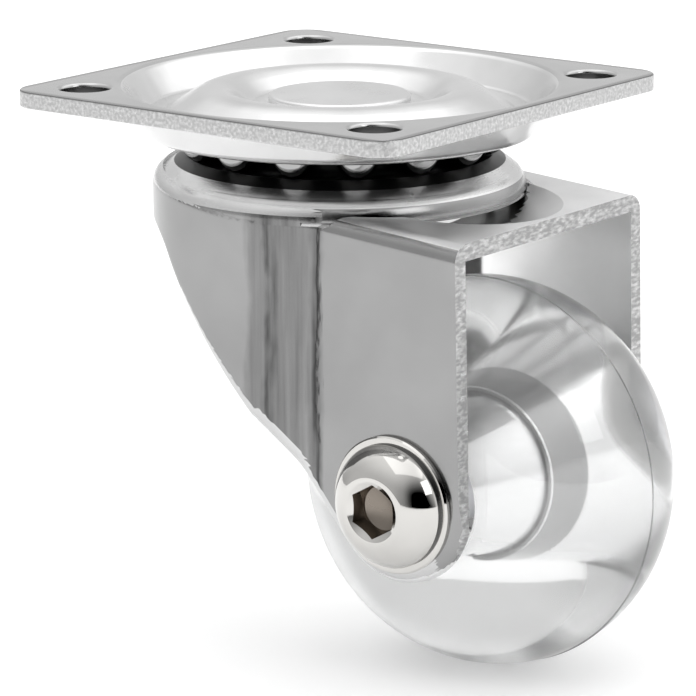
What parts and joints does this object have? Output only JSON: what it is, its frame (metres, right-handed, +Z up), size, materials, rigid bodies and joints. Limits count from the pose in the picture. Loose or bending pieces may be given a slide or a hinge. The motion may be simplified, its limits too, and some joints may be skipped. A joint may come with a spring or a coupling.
{
  "type": "swivel plate castor",
  "caption": "Plate-mounted swivel castor with a pressed bright metal fork, ball race swivel and a clear one-piece wheel on a ball bearing.",
  "frame": {"origin": "swivel axis at the plate's flat top face, the centre of its four bolt holes", "axes": "+Z up along the swivel axis out of the plate's top face, +X the way the wheel trails, Y along the wheel's axle with the bolt's head on the -Y side"},
  "size_m": [0.0787, 0.0611, 0.0726],
  "materials": {
    "bright_plate": "bright plated, slightly brushed, grainy on cut edges",
    "pin_steel": "bright plated, brushed",
    "ball_steel": "polished",
    "nickel": "polished nickel",
    "zinc": "bright zinc",
    "bush_steel": "smooth turned",
    "nylon": "natural",
    "clear_plastic": "clear, glossy"
  },
  "bodies": {
    "plate": {"mounting_plate": "bright_plate", "kingpin": "pin_steel", "lower_race_cup": "pin_steel"},
    "upper_balls": {"upper_ball_01": "ball_steel", "upper_ball_02": "ball_steel", "upper_ball_03": "ball_steel", "upper_ball_04": "ball_steel", "upper_ball_05": "ball_steel", "upper_ball_06": "ball_steel", "upper_ball_07": "ball_steel", "upper_ball_08": "ball_steel", "upper_ball_09": "ball_steel", "upper_ball_10": "ball_steel", "upper_ball_11": "ball_steel", "upper_ball_12": "ball_steel", "upper_ball_13": "ball_steel", "upper_ball_14": "ball_steel", "upper_ball_15": "ball_steel"},
    "lower_balls": {"lower_ball_01": "ball_steel", "lower_ball_02": "ball_steel", "lower_ball_03": "ball_steel", "lower_ball_04": "ball_steel", "lower_ball_05": "ball_steel", "lower_ball_06": "ball_steel", "lower_ball_07": "ball_steel", "lower_ball_08": "ball_steel", "lower_ball_09": "ball_steel", "lower_ball_10": "ball_steel", "lower_ball_11": "ball_steel", "lower_ball_12": "ball_steel", "lower_ball_13": "ball_steel", "lower_ball_14": "ball_steel", "lower_ball_15": "ball_steel", "lower_ball_16": "ball_steel"},
    "fork": {"fork": "bright_plate", "axle_bolt": "nickel", "near_washer": "nickel", "far_washer": "zinc", "lock_nut": "zinc", "nut_insert": "nylon", "axle_sleeve": "bush_steel", "bearing_inner_ring": "bush_steel", "near_thrust_washer": "nylon", "far_thrust_washer": "nylon"},
    "wheel": {"wheel": "clear_plastic", "bearing_outer_ring": "bush_steel", "near_bearing_shield": "bush_steel", "far_bearing_shield": "bush_steel"},
    "bearing_balls": {"bearing_ball_01": "ball_steel", "bearing_ball_02": "ball_steel", "bearing_ball_03": "ball_steel", "bearing_ball_04": "ball_steel", "bearing_ball_05": "ball_steel", "bearing_ball_06": "ball_steel", "bearing_ball_07": "ball_steel", "bearing_ball_08": "ball_steel", "bearing_ball_09": "ball_steel", "bearing_ball_10": "ball_steel"}
  },
  "joints": [
    {"name": "swivel", "type": "hinge", "parent": "plate", "child": "fork", "pos_m": [0, 0, 0], "axis": [0, 0, 1], "continuous": true},
    {"name": "upper_orbit", "type": "hinge", "parent": "plate", "child": "upper_balls", "pos_m": [0, 0, 0], "axis": [0, 0, 1], "continuous": true},
    {"name": "lower_orbit", "type": "hinge", "parent": "plate", "child": "lower_balls", "pos_m": [0, 0, 0], "axis": [0, 0, 1], "continuous": true},
    {"name": "wheel_spin", "type": "hinge", "parent": "fork", "child": "wheel", "pos_m": [0.02356, 0, -0.0475], "axis": [0, 1, 0], "continuous": true},
    {"name": "bearing_orbit", "type": "hinge", "parent": "fork", "child": "bearing_balls", "pos_m": [0.02356, 0, -0.0475], "axis": [0, 1, 0], "continuous": true}
  ],
  "couplings": [
    {"joint": "upper_orbit", "follows": "swivel", "ratio": 0.5},
    {"joint": "lower_orbit", "follows": "swivel", "ratio": 0.5},
    {"joint": "bearing_orbit", "follows": "wheel_spin", "ratio": 0.582}
  ]
}
